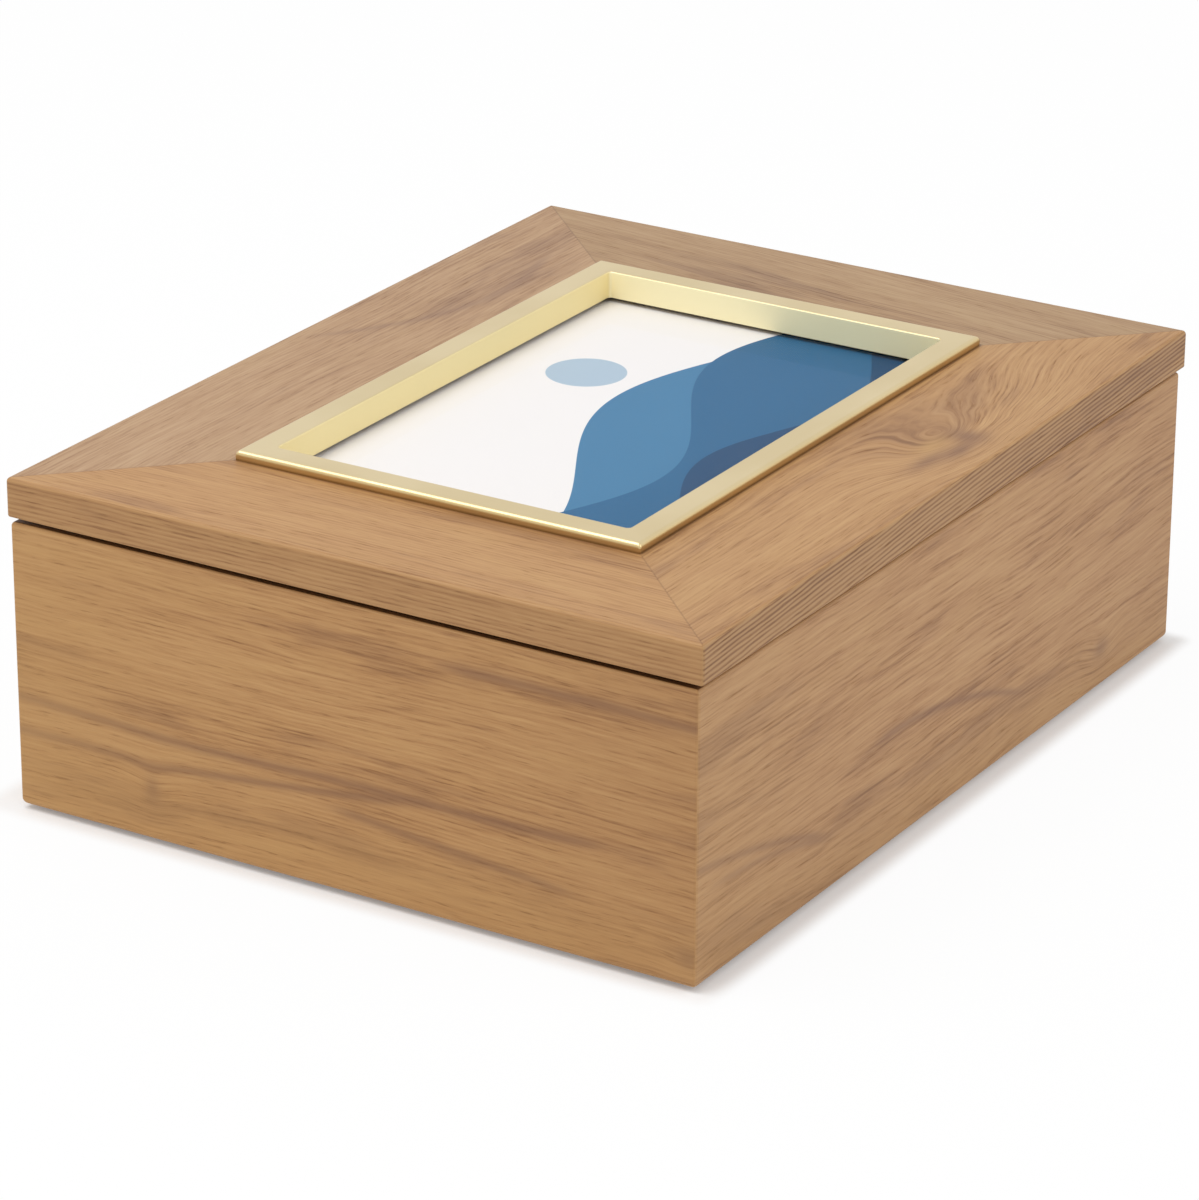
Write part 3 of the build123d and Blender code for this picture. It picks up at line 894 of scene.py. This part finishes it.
# %% A tree that grows shapes
class Grower(Tree):
    """A Geometry Nodes tree whose sizes are inputs with names."""

    def __init__(self, name, sizes):
        self.name, self.sizes = name, sizes
        self.tree = bpy.data.node_groups.new(name, "GeometryNodeTree")
        add_socket = self.tree.interface.new_socket
        for size_name in sizes:
            add_socket(size_name, in_out="INPUT", socket_type="NodeSocketFloat")
        add_socket("Geometry", in_out="OUTPUT", socket_type="NodeSocketGeometry")
        self.given = self.node("NodeGroupInput").socket.node

    def size(self, name):
        return Amount(self, self.given.outputs[name])

    def vector(self, x, y, z):
        return self.node("ShaderNodeCombineXYZ", {0: x, 1: y, 2: z})

    def parts(self, vector):
        split = self.node("ShaderNodeSeparateXYZ", {0: vector}).socket.node
        return [Amount(self, socket) for socket in split.outputs]

    def grow(self, shape, material):
        """Give the shape its material, and return it as a plain object at the origin."""
        inputs = {"Geometry": shape, "Material": material}
        shape = self.node("GeometryNodeSetMaterial", inputs)
        self.node("NodeGroupOutput", {"Geometry": shape})
        seed = bpy.data.objects.new("seed", bpy.data.meshes.new("seed"))
        bpy.context.scene.collection.objects.link(seed)
        modifier = seed.modifiers.new("grow", "NODES")
        modifier.node_group = self.tree
        for socket in self.tree.interface.items_tree:
            if socket.in_out == "INPUT":
                modifier[socket.identifier] = self.sizes[socket.name]
        return plain_mesh(self.name, seed)


print("made: Grower")

# %% [markdown]
# The weight of the box makes a felt disc bulge at mid-height. So a disc is drawn in towards its
# top and bottom, by the square of the height above its middle.

# %% One foot
TANGLE = 0.6 * MM  # size of the clumps on the feet

low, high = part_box("foot_front_left")
far_low, far_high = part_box("foot_back_right")
feet = Grower(
    "felt_feet",
    {
        "Span X": far_low.x - low.x,
        "Span Y": far_low.y - low.y,
        "Middle Y": (far_high.y + low.y) / 2,
        "Radius": (high.x - low.x) / 2,
        "Thickness": high.z - low.z,
        "Bulge": 0.05,
        "Nap": 0.08 * MM,
    },
)
inputs = {"Vertices": 48, "Side Segments": 6, "Fill Segments": 6}
inputs |= {"Radius": feet.size("Radius"), "Depth": feet.size("Thickness")}
disc = feet.node("GeometryNodeMeshCylinder", inputs)
here = feet.node("GeometryNodeInputPosition")
x, y, z = feet.parts(here)
height = z / feet.size("Thickness") * 2
squeeze = 1 - height * height * feet.size("Bulge")
squashed = feet.vector(x * squeeze, y * squeeze, z)
disc = feet.node("GeometryNodeSetPosition", {"Geometry": disc, "Position": squashed})
print("a foot in mm:", [round(part, 2) for part in span("foot_front_left")])

# %% [markdown]
# A grid of two by two points spans the feet, and a disc is set on each point. Noise then draws
# their surface in by a hair. It comes after the discs are made real, so that no two come out
# alike.

# %% Four feet
inputs = {"Vertices X": 2, "Vertices Y": 2}
inputs |= {"Size X": feet.size("Span X"), "Size Y": feet.size("Span Y")}
spots = feet.node("GeometryNodeMeshGrid", inputs)
lift = feet.vector(0.0, feet.size("Middle Y"), feet.size("Thickness") / 2)
spots = feet.node("GeometryNodeSetPosition", {"Geometry": spots, "Offset": lift})
four = feet.node("GeometryNodeInstanceOnPoints", {"Points": spots, "Instance": disc})
four = feet.node("GeometryNodeRealizeInstances", {0: four})

tangle = feet.node("ShaderNodeTexNoise", {"Vector": here, "Scale": 1 / TANGLE, "Detail": 2.0})
fuzz = (tangle - 1) * feet.size("Nap")
outward = feet.node("GeometryNodeInputNormal")
inputs = {0: outward, "Scale": fuzz}
drawn_in = feet.node("ShaderNodeVectorMath", inputs, operation="SCALE")
four = feet.node("GeometryNodeSetPosition", {"Geometry": four, "Offset": drawn_in})

felt_feet = feet.grow(four, felt.material)
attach(felt_feet, "base")
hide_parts(*(f"foot_{corner}" for corner in corners))
print("feet:", len(felt_feet.data.polygons), "faces")

# %% [markdown]
# ## Floor and light
#
# The box stands on a pale floor in a white studio. Two large soft lamps and an even white sky
# light it at a plain level, where a colour comes out about as it was picked. The paper-white
# background is not more light: rays from the camera, and those that metal and glass send back,
# see a whiter sky than the one that lights the box.

# %% Sky
SKY_LIGHT = 0.66


def seen(tree):
    """1 for rays from the camera and for those that metal and glass send on, otherwise 0."""
    path = tree.node("ShaderNodeLightPath").socket.node.outputs
    kinds = ("Is Camera Ray", "Is Glossy Ray", "Is Transmission Ray")
    camera_ray, glossy_ray, glass_ray = (Amount(tree, path[kind]) for kind in kinds)
    return camera_ray.largest(glossy_ray).largest(glass_ray)


world = bpy.data.worlds.new("studio")
bpy.context.scene.world = world
sky = Tree(world)
light = sky.node("ShaderNodeBackground", {"Color": (1, 1, 1, 1), "Strength": SKY_LIGHT})
white = sky.node("ShaderNodeBackground", {"Color": (1, 1, 1, 1), "Strength": 1.0})
both = sky.node("ShaderNodeMixShader", {0: seen(sky), 1: light, 2: white})
sky.plug(sky.tree.nodes["World Output"].inputs["Surface"], both)
print("sky seen and sky that lights:", 1.0, SKY_LIGHT)

# %% [markdown]
# The same rays see a floor that is mostly plain white away from the box. It stays a real
# surface, so it keeps the shadow, and near the box hardly any white is laid over that.

# %% Floor
FLOOR_HALF = 4  # metres
FLOOR_GLOW = 0.94  # share of plain white in what the camera sees of the floor, away from the box
AT_THE_BOX = 0.2  # and of that beside it
SHADOW_REACH = 6.0  # mm from the box over which that share grows
FLOOR_CLEAR = 0.02 * MM  # the floor lies this little below the feet, so that no two faces meet

bm = bmesh.new()
bmesh.ops.create_grid(bm, x_segments=1, y_segments=1, size=FLOOR_HALF)
mesh = bpy.data.meshes.new("floor")
bm.to_mesh(mesh)
bm.free()
floor = bpy.data.objects.new("floor", mesh)
bpy.context.scene.collection.objects.link(floor)
floor.location.z = -FLOOR_CLEAR
ground = Recipe("white floor", roughness=0.9, specular_ior_level=0.0)
ground.set({"base_color": paint(245, 245, 245)})
glow = ground.node("ShaderNodeEmission", {"Color": (1, 1, 1, 1), "Strength": 1.0})
x, y, z = ground.place()
beyond_x = (abs(x) - cad_box[1].x / MM).largest(0.0)
beyond_y = (abs(y) - cad_box[1].y / MM).largest(0.0)
away = (beyond_x * beyond_x + beyond_y * beyond_y).maths("SQRT")
share = seen(ground) * (away.rise(0.0, SHADOW_REACH) * (FLOOR_GLOW - AT_THE_BOX) + AT_THE_BOX)
lit = Amount(ground, ground.shader.outputs[0])
surface = ground.node("ShaderNodeMixShader", {0: share, 1: lit, 2: glow})
ground.plug(ground.tree.nodes["Material Output"].inputs["Surface"], surface)
floor.data.materials.append(ground.material)
floor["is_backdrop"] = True
print("floor across in metres:", 2 * FLOOR_HALF)

# %% [markdown]
# The key lamp hangs above the box, a little to the left and behind, and the fill lamp stands
# further off in front. Both are about a metre wide, so that their shadows are soft. The view
# transform is set to Standard, which leaves the colours as they were picked.


# %% Lamps
def lamp(name, place, width, power):
    """A soft square lamp that looks at the middle of the box."""
    data = bpy.data.lights.new(name, "AREA")
    data.size, data.energy = width, power
    shining = bpy.data.objects.new(name, data)
    shining.location = place
    middle = (cad_box[0] + cad_box[1]) / 2
    shining.rotation_euler = (middle - shining.location).to_track_quat("-Z", "Y").to_euler()
    bpy.context.scene.collection.objects.link(shining)


lamp("key", Vector((-0.45, 0.35, 1.3)), width=0.9, power=9)
lamp("fill", Vector((0.4, -1.3, 0.8)), width=1.0, power=4)
bpy.context.scene.view_settings.view_transform = "Standard"
print("lamps:", [o.name for o in bpy.context.scene.objects if o.type == "LIGHT"])

# %% [markdown]
# ## Measure and finish
#
# The dressed box must be the size of the CAD model, so both boxes are kept in `boxes`, and the
# dressed size is printed.

# %% Finish
dressed_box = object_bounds()
boxes = {"cad": [list(corner) for corner in cad_box], "dressed": [list(corner) for corner in dressed_box]}
print("dressed size in mm:", [round(side / MM, 2) for side in dressed_box[1] - dressed_box[0]])
